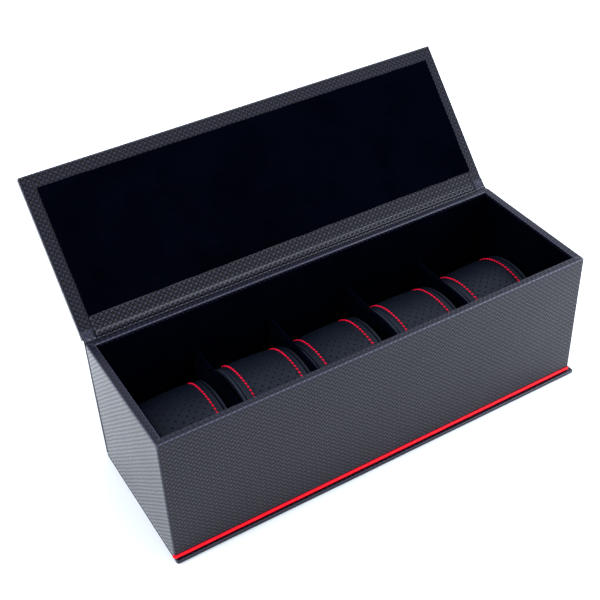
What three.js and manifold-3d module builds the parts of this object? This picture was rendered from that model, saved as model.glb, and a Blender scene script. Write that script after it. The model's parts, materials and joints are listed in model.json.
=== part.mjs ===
// Five-watch storage case with a hinged lid. Millimetres, +Z up, +Y towards the hinge.
// Origin: on the underside of the base board, midway along the tray and midway front to back.
import * as THREE from 'three';
import * as BufferGeometryUtils from 'three/addons/utils/BufferGeometryUtils.js';
import Module from 'manifold-3d';

const wasm = await Module();
wasm.setup();

// Tray, outside the covering.
const LENGTH = 336;
const DEPTH = 113.4;
const TRAY_HEIGHT = 106.1;
const GLUE_LINE = 0.1;

// Base board, which runs past the tray at the front and at the right-hand end.
const BASE_THICKNESS = 3.2;
const BASE_FRONT_LEDGE = 3.2;
const BASE_RIGHT_LEDGE = 3.0;

// Covered boards and the velvet that lines them.
const SIDE_WALL = 5.6;
const FRONT_WALL = 5.6;
const BACK_WALL = 4.7;
const SPINE = 1.7;
const FLOOR_BOARD = 3.0;
const VELVET = 1.1;
const LINING_DROP = 2.0;

// Piping along the foot of the front wall.
const PIPING_HEIGHT = 2.9;
const PIPING_BULGE = 1.0;

// Lid, described as it lies when closed.
const LID_THICKNESS = 6.0;
const LID_GAP = 0.8;
const LID_FRONT_LEDGE = 4.0;
const LID_BACK_SETBACK = 1.4;
const LID_OPEN_DEGREES = 132;
const PANEL_THICKNESS = 1.2;
const PANEL_LEFT_BORDER = 9.8;
const PANEL_RIGHT_BORDER = 8.0;
const PANEL_FRONT_BORDER = 10.2;
const PANEL_HINGE_BORDER = 14.2;

// Hinge axis, level with the back of the spine, in the gap between the spine and the lid.
const AXIS_BELOW_LID_FACE = 0.7;

// Hinge strip: one woven band, glued behind the back wall and to the lid.
const STRIP_THICKNESS = 0.5;
const STRIP_LENGTH = 317;
const STRIP_TAIL = 22;
const STRIP_FREE_WIDTH = 3.0;

// Dividers between the compartments.
const DIVIDER_THICKNESS = 4.2;
const DIVIDER_HEIGHT = 65.6;
const DIVIDER_CLEARANCE = 0.2;
const DIVIDER_X = [-93.0, -32.2, 34.0, 97.0];

// Watch cushions: oval rolls lying along X.
const CUSHION_X = [-127.5, -61.9, -2.4, 63.8, 127.6];
const CUSHION_Y = 0.5;
// Extra length on the left-hand side: the first cushion fills its compartment to the wall.
const CUSHION_LEFT_EXTRA = [5.2, 0, 0, 0, 0];
const CUSHION_HALF_DEPTH = 39.8;
const CUSHION_HALF_HEIGHT = 33.7;
const WRAP_THICKNESS = 1.6;
const WRAP_HALF_LENGTH = 24.5;
const CAP_THICKNESS = 2.6;
const CAP_INSET = 0.9;
const CAP_ROUNDING = 1.0;
const FIT = 0.3;
const OVAL_SEGMENTS = 36;

// Levels and faces worked out from the sizes above.
const TRAY_BOTTOM = BASE_THICKNESS + GLUE_LINE;
const RIM = BASE_THICKNESS + TRAY_HEIGHT;
const LEFT = -LENGTH / 2;
const RIGHT = LENGTH / 2;
const FRONT = -DEPTH / 2;
const BACK = DEPTH / 2;
const INNER_LEFT = LEFT + SIDE_WALL;
const INNER_RIGHT = RIGHT - SIDE_WALL;
const INNER_FRONT = FRONT + FRONT_WALL;
const SPINE_FACE = BACK - SPINE;
const BACK_WALL_OUT = SPINE_FACE - STRIP_THICKNESS - 2 * GLUE_LINE;
const INNER_BACK = BACK_WALL_OUT - BACK_WALL;
const FLOOR_TOP = TRAY_BOTTOM + FLOOR_BOARD;
const CAVITY_FLOOR = FLOOR_TOP + GLUE_LINE + VELVET;
const LINING_TOP = RIM - LINING_DROP;
const LINED = GLUE_LINE + VELVET;

const LID_FACE = RIM + LID_GAP;
const LID_FRONT = FRONT - LID_FRONT_LEDGE;
const LID_BACK = BACK - LID_BACK_SETBACK;
const AXIS_Y = BACK;
const AXIS_Z = LID_FACE - AXIS_BELOW_LID_FACE;

const material = (color, roughness, metalness = 0) =>
  new THREE.MeshStandardMaterial({ color, roughness, metalness });

const finish = {
  leatherette: () => material(0x34353b, 0.55),
  strip: () => material(0x3a3c44, 0.6),
  velvet: () => material(0x06070b, 1.0),
  piping: () => material(0xd8101c, 0.45),
  cushion: () => material(0x1d1f25, 0.5),
  foam: () => material(0x4a4a4c, 0.95),
};

function named(name, geometry, look) {
  const mesh = new THREE.Mesh(geometry, look());
  mesh.name = name;
  return mesh;
}

// A flat board between two corners.
function board(name, look, low, high) {
  const size = high.map((value, axis) => value - low[axis]);
  const mesh = named(name, new THREE.BoxGeometry(...size), look);
  mesh.position.set(...low.map((value, axis) => value + size[axis] / 2));
  return mesh;
}

function solid(geometry) {
  const bare = geometry.clone();
  bare.deleteAttribute('normal');
  bare.deleteAttribute('uv');
  const merged = BufferGeometryUtils.mergeVertices(bare, 1e-4);
  return new wasm.Manifold(new wasm.Mesh({
    numProp: 3,
    vertProperties: new Float32Array(merged.attributes.position.array),
    triVerts: new Uint32Array(merged.index.array),
  }));
}

function geometryOf(manifold) {
  const mesh = manifold.getMesh();
  const geometry = new THREE.BufferGeometry();
  geometry.setAttribute('position', new THREE.BufferAttribute(mesh.vertProperties, 3));
  geometry.setIndex(new THREE.BufferAttribute(mesh.triVerts, 1));
  geometry.computeVertexNormals();
  return geometry;
}

// An oval roll along X. Its rim is rounded where a rounding is given.
function ovalRoll(halfDepth, halfHeight, halfLength, rounding = 0) {
  const profile = [new THREE.Vector2(0, -halfLength)];
  if (rounding > 0) {
    profile.push(new THREE.Vector2(1 - rounding / halfHeight, -halfLength));
    profile.push(new THREE.Vector2(1, -halfLength + rounding));
    profile.push(new THREE.Vector2(1, halfLength - rounding));
    profile.push(new THREE.Vector2(1 - rounding / halfHeight, halfLength));
  } else {
    profile.push(new THREE.Vector2(1, -halfLength));
    profile.push(new THREE.Vector2(1, halfLength));
  }
  profile.push(new THREE.Vector2(0, halfLength));
  const roll = new THREE.LatheGeometry(profile, OVAL_SEGMENTS);
  roll.rotateZ(-Math.PI / 2);
  roll.scale(1, halfHeight, halfDepth);
  roll.rotateX(Math.PI / 2);
  return roll;
}

// The open tube of leather that goes round a cushion.
function ovalSleeve(halfDepth, halfHeight, halfLength, thickness) {
  const outside = solid(ovalRoll(halfDepth, halfHeight, halfLength));
  const inside = solid(ovalRoll(halfDepth - thickness, halfHeight - thickness, halfLength + 1));
  return geometryOf(outside.subtract(inside));
}

// Half-round piping along X: flat at the back, bulging towards -Y.
function pipingGeometry(length, height, bulge) {
  const shape = new THREE.Shape();
  shape.moveTo(0, 0);
  shape.lineTo(0, height);
  shape.absellipse(0, height / 2, bulge, height / 2, Math.PI / 2, 3 * Math.PI / 2, false);
  const geometry = new THREE.ExtrudeGeometry(shape, { depth: length, bevelEnabled: false, curveSegments: 6 });
  geometry.rotateY(Math.PI / 2);
  geometry.rotateX(Math.PI / 2);
  return geometry;
}

function makeCase() {
  const group = new THREE.Group();
  group.add(board('base_board', finish.leatherette,
    [LEFT, FRONT - BASE_FRONT_LEDGE, 0],
    [RIGHT + BASE_RIGHT_LEDGE, BACK, BASE_THICKNESS]));
  group.add(board('spine_board', finish.leatherette,
    [LEFT, SPINE_FACE, TRAY_BOTTOM],
    [RIGHT, BACK, RIM - 1]));
  return group;
}

function makeTray() {
  const group = new THREE.Group();
  group.add(board('front_wall', finish.leatherette,
    [LEFT, FRONT, TRAY_BOTTOM],
    [RIGHT, INNER_FRONT, RIM]));
  group.add(board('back_wall', finish.leatherette,
    [LEFT, INNER_BACK, TRAY_BOTTOM],
    [RIGHT, BACK_WALL_OUT, RIM]));
  group.add(board('left_wall', finish.leatherette,
    [LEFT, INNER_FRONT + GLUE_LINE, TRAY_BOTTOM],
    [INNER_LEFT, INNER_BACK - GLUE_LINE, RIM]));
  group.add(board('right_wall', finish.leatherette,
    [INNER_RIGHT, INNER_FRONT + GLUE_LINE, TRAY_BOTTOM],
    [RIGHT, INNER_BACK - GLUE_LINE, RIM]));
  group.add(board('floor_board', finish.leatherette,
    [INNER_LEFT + GLUE_LINE, INNER_FRONT + GLUE_LINE, TRAY_BOTTOM],
    [INNER_RIGHT - GLUE_LINE, INNER_BACK - GLUE_LINE, FLOOR_TOP]));

  const piping = named('front_piping', pipingGeometry(LENGTH, PIPING_HEIGHT, PIPING_BULGE), finish.piping);
  piping.position.set(LEFT, FRONT - GLUE_LINE, TRAY_BOTTOM);
  group.add(piping);
  return group;
}

function makeLining() {
  const group = new THREE.Group();
  const bottom = FLOOR_TOP + GLUE_LINE;
  const low = bottom + VELVET + GLUE_LINE;
  group.add(board('floor_lining', finish.velvet,
    [INNER_LEFT + GLUE_LINE, INNER_FRONT + GLUE_LINE, bottom],
    [INNER_RIGHT - GLUE_LINE, INNER_BACK - GLUE_LINE, CAVITY_FLOOR]));
  group.add(board('front_lining', finish.velvet,
    [INNER_LEFT + GLUE_LINE, INNER_FRONT + GLUE_LINE, low],
    [INNER_RIGHT - GLUE_LINE, INNER_FRONT + LINED, LINING_TOP]));
  group.add(board('back_lining', finish.velvet,
    [INNER_LEFT + GLUE_LINE, INNER_BACK - LINED, low],
    [INNER_RIGHT - GLUE_LINE, INNER_BACK - GLUE_LINE, LINING_TOP]));
  group.add(board('left_lining', finish.velvet,
    [INNER_LEFT + GLUE_LINE, INNER_FRONT + LINED + GLUE_LINE, low],
    [INNER_LEFT + LINED, INNER_BACK - LINED - GLUE_LINE, LINING_TOP]));
  group.add(board('right_lining', finish.velvet,
    [INNER_RIGHT - LINED, INNER_FRONT + LINED + GLUE_LINE, low],
    [INNER_RIGHT - GLUE_LINE, INNER_BACK - LINED - GLUE_LINE, LINING_TOP]));
  return group;
}

function makeDividers() {
  const group = new THREE.Group();
  const bottom = CAVITY_FLOOR + GLUE_LINE;
  DIVIDER_X.forEach((x, index) => {
    group.add(board(`divider_${index + 1}`, finish.velvet,
      [x - DIVIDER_THICKNESS / 2, INNER_FRONT + LINED + DIVIDER_CLEARANCE, bottom],
      [x + DIVIDER_THICKNESS / 2, INNER_BACK - LINED - DIVIDER_CLEARANCE, bottom + DIVIDER_HEIGHT]));
  });
  return group;
}

function makeCushion(number, leftExtra) {
  const group = new THREE.Group();
  const core = ovalRoll(
    CUSHION_HALF_DEPTH - WRAP_THICKNESS - FIT,
    CUSHION_HALF_HEIGHT - WRAP_THICKNESS - FIT,
    WRAP_HALF_LENGTH + leftExtra / 2);
  const coreMesh = named(`cushion_${number}_core`, core, finish.foam);
  coreMesh.position.x = -leftExtra / 2;
  group.add(coreMesh);

  const wrap = ovalSleeve(CUSHION_HALF_DEPTH, CUSHION_HALF_HEIGHT,
    WRAP_HALF_LENGTH + leftExtra / 2, WRAP_THICKNESS);
  const wrapMesh = named(`cushion_${number}_wrap`, wrap, finish.cushion);
  wrapMesh.position.x = -leftExtra / 2;
  group.add(wrapMesh);

  const capOffset = WRAP_HALF_LENGTH + FIT + CAP_THICKNESS / 2;
  for (const [side, direction] of [['left', -1], ['right', 1]]) {
    const cap = named(`cushion_${number}_${side}_cap`, ovalRoll(
      CUSHION_HALF_DEPTH - CAP_INSET,
      CUSHION_HALF_HEIGHT - CAP_INSET,
      CAP_THICKNESS / 2,
      CAP_ROUNDING), finish.cushion);
    cap.position.x = direction * capOffset - (direction < 0 ? leftExtra : 0);
    group.add(cap);
  }
  return group;
}

function makeCushions() {
  const group = new THREE.Group();
  const height = CAVITY_FLOOR + 2 * GLUE_LINE + CUSHION_HALF_HEIGHT;
  CUSHION_X.forEach((x, index) => {
    const cushion = makeCushion(index + 1, CUSHION_LEFT_EXTRA[index]);
    cushion.position.set(x, CUSHION_Y, height);
    group.add(cushion);
  });
  return group;
}

// The part of the hinge strip that is glued between the spine and the back wall.
function makeStripTail() {
  return board('hinge_strip_tail', finish.strip,
    [-STRIP_LENGTH / 2, BACK_WALL_OUT + GLUE_LINE, RIM - STRIP_TAIL],
    [STRIP_LENGTH / 2, SPINE_FACE - GLUE_LINE, RIM - 1]);
}

// The lid is laid out closed, about its hinge axis, and then turned open.
function makeLid() {
  const turned = new THREE.Group();
  turned.position.set(0, AXIS_Y, AXIS_Z);
  turned.rotation.x = -THREE.MathUtils.degToRad(LID_OPEN_DEGREES);

  const closed = new THREE.Group();
  closed.position.set(0, -AXIS_Y, -AXIS_Z);
  const underside = LID_FACE - GLUE_LINE;
  closed.add(board('lid_board', finish.leatherette,
    [LEFT, LID_FRONT, LID_FACE],
    [RIGHT, LID_BACK, LID_FACE + LID_THICKNESS]));
  closed.add(board('lid_velvet_panel', finish.velvet,
    [LEFT + PANEL_LEFT_BORDER, LID_FRONT + PANEL_FRONT_BORDER, underside - PANEL_THICKNESS],
    [RIGHT - PANEL_RIGHT_BORDER, LID_BACK - PANEL_HINGE_BORDER, underside]));
  closed.add(board('hinge_strip_flap', finish.strip,
    [-STRIP_LENGTH / 2, LID_BACK - PANEL_HINGE_BORDER + FIT, underside - STRIP_THICKNESS],
    [STRIP_LENGTH / 2, LID_BACK - STRIP_FREE_WIDTH, underside]));
  turned.add(closed);
  return turned;
}

const group = new THREE.Group();
group.add(makeCase(), makeTray(), makeLining(), makeDividers(), makeCushions(), makeStripTail(), makeLid());

export default group;
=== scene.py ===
"""Looks of a five-watch storage case: a long covered box with a velvet lining, a back-hinged lid,
four dividers and five oval cushions. Built in the frame of the CAD part; helper functions take
millimetres and the pieces are made in metres."""
import json
import math

import bpy
import numpy as np
from mathutils import Matrix, Vector
from mathutils.bvhtree import BVHTree


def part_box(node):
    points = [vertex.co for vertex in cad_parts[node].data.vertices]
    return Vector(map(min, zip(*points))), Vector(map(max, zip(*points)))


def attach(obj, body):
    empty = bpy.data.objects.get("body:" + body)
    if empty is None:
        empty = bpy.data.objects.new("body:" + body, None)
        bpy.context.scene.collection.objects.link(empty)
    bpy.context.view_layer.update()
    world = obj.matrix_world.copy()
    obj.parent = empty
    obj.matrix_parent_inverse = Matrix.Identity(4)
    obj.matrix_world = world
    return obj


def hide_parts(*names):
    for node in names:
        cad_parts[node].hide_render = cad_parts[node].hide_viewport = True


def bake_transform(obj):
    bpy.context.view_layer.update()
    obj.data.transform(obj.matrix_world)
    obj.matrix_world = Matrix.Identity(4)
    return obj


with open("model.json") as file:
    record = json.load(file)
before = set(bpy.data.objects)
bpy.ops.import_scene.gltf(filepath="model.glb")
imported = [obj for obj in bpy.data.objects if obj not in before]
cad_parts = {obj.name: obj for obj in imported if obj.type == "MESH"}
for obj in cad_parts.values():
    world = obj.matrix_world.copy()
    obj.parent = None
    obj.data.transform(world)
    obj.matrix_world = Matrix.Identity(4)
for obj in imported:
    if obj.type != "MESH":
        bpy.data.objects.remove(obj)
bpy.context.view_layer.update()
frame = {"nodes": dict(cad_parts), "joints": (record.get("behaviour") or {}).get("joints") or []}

MM = 0.001
UV = "millimetres"
WEAR_AND_HIGHLIGHT = "wear_and_highlight"

# Hinge of the lid, in millimetres, and how far the lid stands open at rest.
HINGE_Y, HINGE_Z = (1000 * c for c in frame["joints"][0]["pos_m"][1:])
LID_OPEN = math.radians(-frame["joints"][0]["range_deg"][0])

# Weave pressed into the leatherette: one repeat is two tows each way.
WEAVE_WIDTH = 3.88
WEAVE_HEIGHT = 3.61

# Cushions: where the rings of stitching run, half the length of the sewn band and its thickness,
# the stitches and the space beside each, the punched holes and how far they stay from the
# stitching, and the points round the oval.
STITCH_X = 19.2
BAND_HALF = 24.5
BAND_THICK = 1.1
STITCH_PITCH = 3.2
STITCH_SPACE = 0.45
THREAD_RADIUS = 0.64
HOLE_ROWS = 3.35
HOLE_RADIUS = 0.62
HOLE_MARGIN = 2.2
AROUND = 144

TURN = 2 * math.pi

# How far the pile of the lid's velvet comes down over the edge of the hinge strip.
PANEL_TUCK = 0.9

# How each cushion has slumped: rise of its top per length, the drop of its left-hand top, and
# how far the whole top has sunk.
SLUMP = [(0.0, 2.4, 1.6), (-0.085, 0.0, 0.0), (0.0, 2.1, 2.6), (-0.05, 0.0, 2.2), (0.057, 0.0, 1.5)]


# ---------------------------------------------------------------- camera and lights

def linked(name, data):
    """A new object of the scene."""
    made = bpy.data.objects.new(name, data)
    bpy.context.scene.collection.objects.link(made)
    return made


def add_camera():
    """The camera stands in front of the left-hand end, well above the box."""
    data = bpy.data.cameras.new("camera")
    data.lens = 67.2
    data.sensor_width = 36.0
    camera = linked("camera", data)
    azimuth, elevation, roll = (math.radians(a) for a in (-29.13, 38.98, -2.80))
    level = math.cos(elevation)
    forward = Vector((-math.sin(azimuth) * level, math.cos(azimuth) * level, -math.sin(elevation)))
    right = Vector((math.cos(azimuth), math.sin(azimuth), 0.0))
    up = right.cross(forward)
    x = right * math.cos(roll) + up * math.sin(roll)
    y = up * math.cos(roll) - right * math.sin(roll)
    turn = Matrix((x, y, -forward)).transposed().to_4x4()
    camera.matrix_world = Matrix.Translation((-0.3166, -0.5085, 0.5943)) @ turn
    bpy.context.scene.camera = camera


def add_area(name, place, target, width, height, power):
    """A soft rectangular lamp at place, turned towards target."""
    data = bpy.data.lights.new(name, "AREA")
    data.shape = "RECTANGLE"
    data.size, data.size_y = width, height
    data.energy = power
    data.color = (0.86, 0.92, 1.0)
    lamp = linked(name, data)
    lamp.location = place
    lamp.rotation_euler = (Vector(target) - Vector(place)).to_track_quat("-Z", "Y").to_euler()


def add_studio():
    """Cool white surroundings, a long lamp overhead, one at the right-hand front and one at the left."""
    scene = bpy.context.scene
    scene.view_settings.view_transform = "Standard"
    world = bpy.data.worlds.new("studio")
    world.use_nodes = True
    world.node_tree.nodes["Background"].inputs["Color"].default_value = (0.84, 0.91, 1.0, 1.0)
    world.node_tree.nodes["Background"].inputs["Strength"].default_value = 1.42
    scene.world = world
    add_area("overhead", (0.45, 0.12, 1.1), (0.05, 0.0, 0.1), 0.35, 0.9, 9.0)
    add_area("front_right", (0.62, -0.62, 0.36), (0.12, -0.05, 0.06), 0.5, 0.4, 7.4)
    add_area("left", (-0.85, 0.25, 0.6), (-0.17, 0.0, 0.0), 0.5, 0.5, 5.0)


# ---------------------------------------------------------------- meshes

def waves(points, length, seed):
    """Smooth random ripples of about that wavelength, from -1 to 1, at each point."""
    rng = np.random.default_rng(seed)
    total = np.zeros(len(points))
    for _ in range(7):
        direction = rng.normal(size=3)
        direction /= np.linalg.norm(direction)
        pitch = length * rng.uniform(0.7, 1.6)
        total += np.sin(points @ direction * (TURN / pitch) + rng.uniform(0, TURN))
    return total / 4.0


def signed_volume(points, faces):
    """Six times the volume inside the faces, negative if they point inwards."""
    return sum(float(np.dot(points[f[0]], np.cross(points[b], points[c])))
               for f in faces for b, c in zip(f[1:-1], f[2:]))


def new_piece(name, points, faces, uv=None, material=None, wear_and_highlight=None):
    """A mesh object from points in millimetres. uv holds one pair per face corner, in millimetres."""
    points = np.asarray(points, float)
    if signed_volume(points, faces) < 0:
        faces = [tuple(reversed(f)) for f in faces]
        uv = None if uv is None else [list(reversed(corners)) for corners in uv]
    mesh = bpy.data.meshes.new(name)
    mesh.from_pydata((points * MM).tolist(), [], [tuple(int(i) for i in f) for f in faces])
    if uv is not None:
        layer = mesh.uv_layers.new(name=UV)
        flat = [c for corners in uv for pair in corners for c in pair]
        layer.data.foreach_set("uv", np.asarray(flat, np.float32))
    if wear_and_highlight is not None:
        attribute = mesh.attributes.new(WEAR_AND_HIGHLIGHT, "FLOAT", "POINT")
        attribute.data.foreach_set("value", np.asarray(wear_and_highlight, np.float32))
    mesh.polygons.foreach_set("use_smooth", [True] * len(mesh.polygons))
    mesh.update()
    piece = linked(name, mesh)
    if material is not None:
        mesh.materials.append(material)
    return piece


def settle(piece, body, slot, *nodes):
    """The piece rides on the body and stands for the nodes; the slot is not used."""
    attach(piece, body)
    if nodes:
        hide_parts(*nodes)


def box_mm(node):
    """The lowest and highest corner of a CAD node at rest, in millimetres."""
    lo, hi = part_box(node)
    return np.array(lo) / MM, np.array(hi) / MM


def edge_stops(lo, hi, radius, step, border):
    """Cut positions along one side of a block: close round the edges, 1 mm apart in the border."""
    turn = [radius * (1 - math.tan(a * math.pi / 12)) for a in (3, 2, 1, 0)]
    cuts = [lo + t for t in turn] + [hi - t for t in turn]
    start, end = lo + radius, hi - radius
    if border > 0:
        count = round(border)
        cuts += [start + border * k / count for k in range(1, count + 1)]
        cuts += [end - border * k / count for k in range(1, count + 1)]
        start, end = start + border, end - border
    count = max(1, round((end - start) / step))
    cuts += [start + (end - start) * k / count for k in range(count + 1)]
    return np.array(sorted({round(c, 4) for c in cuts}))


def block_mesh(lo, hi, radius, step=6.0, border=0.0):
    """A block with rounded edges, as points, quads, corner UVs and the wear and painted highlight along its
    edges.
    """
    lo, hi = np.asarray(lo, float), np.asarray(hi, float)
    radii = np.minimum(np.full(3, 1.0) * radius, (hi - lo) / 2 - 0.02)
    cuts = [edge_stops(lo[k], hi[k], radii[k], step, border if hi[k] - lo[k] > 4 * border else 0)
            for k in range(3)]
    index, points, faces, uv = {}, [], [], []

    def corner(key):
        if key not in index:
            index[key] = len(points)
            points.append([cuts[k][key[k]] for k in range(3)])
        return index[key]

    for axis, (a, b) in enumerate([(1, 2), (2, 0), (0, 1)]):
        flat = (0, 2) if axis == 1 else (a, b)
        for end in (0, len(cuts[axis]) - 1):
            for i in range(len(cuts[a]) - 1):
                for j in range(len(cuts[b]) - 1):
                    keys = []
                    for di, dj in ((0, 0), (1, 0), (1, 1), (0, 1)):
                        key = [0, 0, 0]
                        key[axis], key[a], key[b] = end, i + di, j + dj
                        keys.append(tuple(key))
                    if end == 0:
                        keys.reverse()
                    faces.append(tuple(corner(k) for k in keys))
                    uv.append([(cuts[flat[0]][k[flat[0]]], cuts[flat[1]][k[flat[1]]]) for k in keys])
    points = np.array(points)
    core = np.clip(points, lo + radii, hi - radii)
    offset = (points - core) / radii
    length = np.linalg.norm(offset, axis=1)
    points = core + radii * offset / length[:, None]
    wear_and_highlight = np.clip(np.sort(np.abs(offset / length[:, None]), axis=1)[:, 1] * 1.5, 0, 1)
    return points, faces, uv, wear_and_highlight


def swept(rings, closed_ring=True, closed_path=False, u=None, v=None):
    """Faces and UVs that join rings of points. u is the place along a ring, v the place across."""
    n, m = len(rings), len(rings[0])
    points = np.concatenate(rings)
    faces, uv = [], []
    for i in range(n if closed_path else n - 1):
        for j in range(m if closed_ring else m - 1):
            i2, j2 = (i + 1) % n, (j + 1) % m
            faces.append((i * m + j, i * m + j2, i2 * m + j2, i2 * m + j))
            if u is not None:
                uv.append([(u[j], v[i]), (u[j + 1], v[i]), (u[j + 1], v[i + 1]), (u[j], v[i + 1])])
    return points, faces, (uv if u is not None else None)


def end_faces(count, total):
    """Faces that close a swept body: its first ring and its last."""
    return [tuple(range(count)), tuple(range(total - count, total))[::-1]]


def swapped(uv):
    """The same corner UVs with their two axes exchanged."""
    return [[(b, a) for a, b in corners] for corners in uv]


def at_x(x, flat):
    """Points (y, z) placed at x."""
    return np.column_stack([np.full(len(flat), x), flat])


def lengths(path):
    """Distance along a path of points, starting at 0."""
    path = np.asarray(path, float)
    return np.concatenate([[0.0], np.cumsum(np.linalg.norm(np.diff(path, axis=0), axis=1))])


def opened(points, angle=LID_OPEN):
    """Points of the closed lid, turned about the hinge to where they are at rest."""
    c, s = math.cos(angle), math.sin(angle)
    y, z = points[:, 1] - HINGE_Y, points[:, 2] - HINGE_Z
    return np.stack([points[:, 0], HINGE_Y + y * c + z * s, HINGE_Z - y * s + z * c], axis=1)


def resampled(path, step):
    """The same polyline with points about one step apart."""
    path = np.asarray(path, float)
    s = lengths(path)
    places = np.linspace(0, s[-1], max(2, round(s[-1] / step) + 1))
    return np.stack([np.interp(places, s, path[:, k]) for k in range(path.shape[1])], axis=1)


def rounded_path(path, passes=2):
    """A polyline with its corners cut by Chaikin's rule; the ends stay."""
    path = np.asarray(path, float)
    for _ in range(passes):
        a, b = path[:-1], path[1:]
        cut = np.stack([0.75 * a + 0.25 * b, 0.25 * a + 0.75 * b], axis=1).reshape(-1, path.shape[1])
        path = np.concatenate([path[:1], cut, path[-1:]])
    return path


# ---------------------------------------------------------------- materials

class Graph:
    """One procedural material, built node by node."""

    def __init__(self, name):
        self.material = bpy.data.materials.new(name)
        self.material.use_nodes = True
        self.tree = self.material.node_tree
        self.shader = self.tree.nodes["Principled BSDF"]

    def put(self, socket, value):
        if isinstance(value, bpy.types.NodeSocket):
            self.tree.links.new(value, socket)
        else:
            socket.default_value = value

    def node(self, kind, inputs=None, **settings):
        """A new node with those settings. inputs has a value or another node's socket for each."""
        made = self.tree.nodes.new(kind)
        for key, value in settings.items():
            setattr(made, key, value)
        for key, value in (inputs or {}).items():
            self.put(made.inputs[key], value)
        return made

    def math(self, operation, a, b=0.0, c=0.0, clamp=False):
        made = self.node("ShaderNodeMath", {0: a, 1: b, 2: c}, operation=operation, use_clamp=clamp)
        return made.outputs[0]

    def times(self, a, b, clamp=False):
        return self.math("MULTIPLY", a, b, clamp=clamp)

    def minus(self, a, b, clamp=False):
        return self.math("SUBTRACT", a, b, clamp=clamp)

    def squares(self, a, b):
        """a squared plus b squared."""
        a, b = (self.math("POWER", self.math("ABSOLUTE", c), 2.0) for c in (a, b))
        return self.math("ADD", a, b)

    def between(self, value, low, high):
        """A 0 to 1 value spread over low to high."""
        return self.math("MULTIPLY_ADD", value, high - low, low)

    def vector(self, operation, inputs):
        return self.node("ShaderNodeVectorMath", inputs, operation=operation).outputs[0]

    def uv(self):
        return self.node("ShaderNodeUVMap", uv_map=UV).outputs[0]

    def wear_and_highlight(self):
        return self.node("ShaderNodeAttribute", attribute_name=WEAR_AND_HIGHLIGHT).outputs["Fac"]

    def place(self):
        """Place on the piece in millimetres."""
        return self.vector("SCALE", {0: self.node("ShaderNodeTexCoord").outputs["Object"], "Scale": 1000.0})

    def parts(self, vector):
        return self.node("ShaderNodeSeparateXYZ", {0: vector}).outputs[:]

    def noise(self, vector, scale, detail=2.0, rough=0.5, output="Fac"):
        inputs = {"Vector": vector, "Scale": scale, "Detail": detail, "Roughness": rough}
        return self.node("ShaderNodeTexNoise", inputs).outputs[output]

    def cells(self, vector, scale, feature):
        inputs = {"Vector": vector, "Scale": scale}
        return self.node("ShaderNodeTexVoronoi", inputs, feature=feature).outputs["Distance"]

    def stretched(self, vector, x, y, z=1.0):
        return self.vector("MULTIPLY", {0: vector, 1: (x, y, z)})

    def wobble(self, vector, scale, amount):
        """The vector pushed sideways by smooth noise, on average by that amount."""
        push = self.noise(vector, scale, 1.0, output="Color")
        return self.vector("MULTIPLY_ADD", {0: push, 1: (2 * amount, 2 * amount, 0.0), 2: vector})

    def ramp(self, value, stops):
        made = self.node("ShaderNodeValToRGB", {0: value})
        elements = made.color_ramp.elements
        while len(elements) < len(stops):
            elements.new(0.5)
        for element, (place, colour) in zip(elements, stops):
            element.position = place
            element.color = (*colour, 1.0)
        return made.outputs[0]

    def mix(self, amount, a, b, blend="MIX"):
        a, b = ((*c, 1.0) if isinstance(c, tuple) else c for c in (a, b))
        made = self.node("ShaderNodeMix", {0: amount, 6: a, 7: b}, data_type="RGBA", blend_type=blend)
        return made.outputs[2]

    def bump(self, height, distance, strength=1.0, normal=None):
        """height runs from 0 to 1 and distance is its depth in millimetres."""
        inputs = {"Strength": strength, "Distance": distance * MM, "Height": height}
        if normal is not None:
            inputs["Normal"] = normal
        return self.node("ShaderNodeBump", inputs).outputs[0]

    def finish(self, colour, roughness, normal, **fixed):
        fixed.update(Base_Color=colour, Roughness=roughness, Normal=normal)
        for key, value in fixed.items():
            self.put(self.shader.inputs[key.replace("_", " ")], value)
        return self.material


def tow(g, a, b, shift, angle, long, short):
    """Height of one set of raised tows: leaning ovals on a grid, with fine fibres along them."""
    local = []
    for value, pitch in ((a, WEAVE_WIDTH), (b, WEAVE_HEIGHT)):
        part = g.math("FRACT", g.math("ADD", value, shift))
        local.append(g.times(g.minus(part, 0.5), pitch))
    x, y = local
    c, s = math.cos(angle), math.sin(angle)
    along = g.math("ADD", g.times(x, c), g.times(y, s))
    across = g.minus(g.times(y, c), g.times(x, s))
    far = g.squares(g.math("DIVIDE", along, long), g.math("DIVIDE", across, short))
    dome = g.minus(1.0, far, clamp=True)
    fibre = g.math("MULTIPLY_ADD", g.math("SINE", g.times(across, 21.0)), 0.07, 0.93)
    return g.times(g.math("POWER", dome, 0.6), fibre)


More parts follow.
